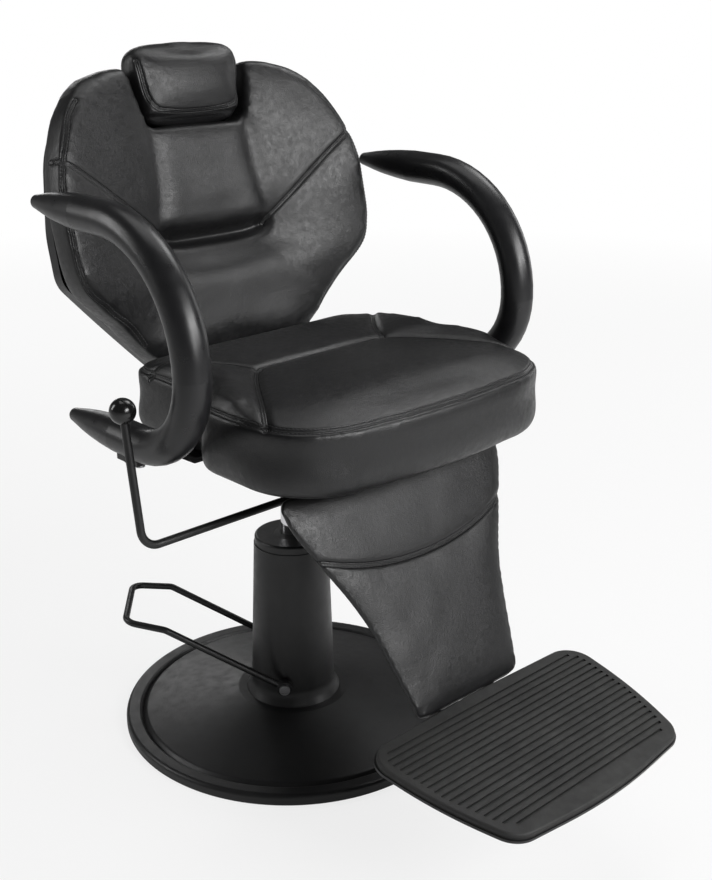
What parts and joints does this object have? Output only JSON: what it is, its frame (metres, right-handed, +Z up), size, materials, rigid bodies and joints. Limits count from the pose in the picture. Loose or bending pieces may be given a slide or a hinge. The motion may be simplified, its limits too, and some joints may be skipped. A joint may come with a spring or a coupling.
{
  "type": "barber chair",
  "caption": "Reclining barber chair on a round hydraulic base, with moulded loop arms, sliding headrest, and a padded leg rest with ribbed foot plate that rises as the back reclines.",
  "frame": {"origin": "on the floor, under the middle of the round base", "axes": "+Z up, the chair faces -Y, the sitter's left side is +X"},
  "size_m": [0.759, 0.9979, 1.1164],
  "materials": {
    "powder_black": "satin",
    "cast_black": "matte",
    "steel": "satin",
    "chromed": "polished",
    "leatherette": "satin",
    "moulded_black": "satin",
    "knob_black": "gloss",
    "rubber_black": "matte",
    "plywood": "matte"
  },
  "bodies": {
    "base": {"base_plate": "powder_black", "base_rim": "powder_black", "base_dome": "powder_black", "pump_housing": "cast_black", "pump_bolts": "steel", "pump_cover": "powder_black", "pump_cap": "powder_black", "ram_seal": "rubber_black"},
    "pump_lever": {"pump_lever": "powder_black", "lever_shaft": "powder_black", "lever_screws": "steel"},
    "ram": {"ram": "chromed", "thrust_washer": "steel"},
    "seat": {"mount_plate": "powder_black", "side_plate_left": "powder_black", "side_plate_right": "powder_black", "seat_board": "plywood", "seat_cushion": "leatherette", "seat_bolts": "steel", "arm_bracket_left": "powder_black", "arm_bracket_right": "powder_black", "arm_left": "moulded_black", "arm_right": "moulded_black", "arm_bolts": "steel", "back_pivot_bolts": "steel", "legrest_pivot_bolts": "steel", "spring_cylinder": "powder_black", "spring_stud": "steel"},
    "recline_lever": {"recline_lever": "powder_black", "recline_knob": "knob_black", "lever_retainers": "steel"},
    "back": {"back_arm_left": "powder_black", "back_arm_right": "powder_black", "back_board": "plywood", "back_cushion": "leatherette", "back_cover": "moulded_black", "back_screws": "steel", "headrest_guide": "powder_black", "link_pin_back": "steel", "spring_pin": "steel"},
    "headrest": {"headrest_pad": "leatherette", "headrest_bar": "powder_black"},
    "legrest": {"legrest_arm_left": "powder_black", "legrest_arm_right": "powder_black", "legrest_board": "plywood", "legrest_pad": "leatherette", "legrest_screws": "steel", "footrest_bracket_left": "powder_black", "footrest_bracket_right": "powder_black", "footrest_plate": "powder_black", "footrest_tread": "rubber_black", "link_pin_legrest": "steel"},
    "link": {"recline_link": "powder_black"},
    "spring_rod": {"spring_rod": "chromed"}
  },
  "joints": [
    {"name": "lift", "type": "slide", "parent": "base", "child": "ram", "axis": [0, 0, 1], "range_m": [-0.13, 0.015]},
    {"name": "swivel", "type": "hinge", "parent": "ram", "child": "seat", "pos_m": [0, 0, 0.488], "axis": [0, 0, 1], "continuous": true},
    {"name": "pump_stroke", "type": "hinge", "parent": "base", "child": "pump_lever", "pos_m": [-0.01236, 0.01016, 0.087], "axis": [-0.6347, -0.7727, 0], "range_deg": [0, 20], "stiffness_Nm_per_rad": 8, "springref_deg": -17.19},
    {"name": "release", "type": "hinge", "parent": "seat", "child": "recline_lever", "pos_m": [0, -0.14, 0.477], "axis": [-1, 0, 0], "range_deg": [0, 15], "stiffness_Nm_per_rad": 6, "springref_deg": -11.46},
    {"name": "recline", "type": "hinge", "parent": "seat", "child": "back", "pos_m": [0, 0.135, 0.515], "axis": [-1, 0, 0], "range_deg": [0, 45]},
    {"name": "legrest_lift", "type": "hinge", "parent": "seat", "child": "legrest", "pos_m": [0, -0.203, 0.48], "axis": [-1, 0, 0], "range_deg": [0, 45]},
    {"name": "link_swing", "type": "hinge", "parent": "back", "child": "link", "pos_m": [0.091, 0.15031, 0.47804], "axis": [-1, 0, 0], "range_deg": [-45, 0]},
    {"name": "spring_stroke", "type": "slide", "parent": "seat", "child": "spring_rod", "axis": [0, -1, 0], "range_m": [0, 0.01995]},
    {"name": "headrest_height", "type": "slide", "parent": "back", "child": "headrest", "axis": [0, 0.2402, 0.9707], "range_m": [0, 0.09]}
  ],
  "couplings": [
    {"joint": "legrest_lift", "follows": "recline", "ratio": 1},
    {"joint": "link_swing", "follows": "recline", "ratio": -1},
    {"joint": "spring_stroke", "follows": "recline", "m_per_rad": 0.025337}
  ]
}
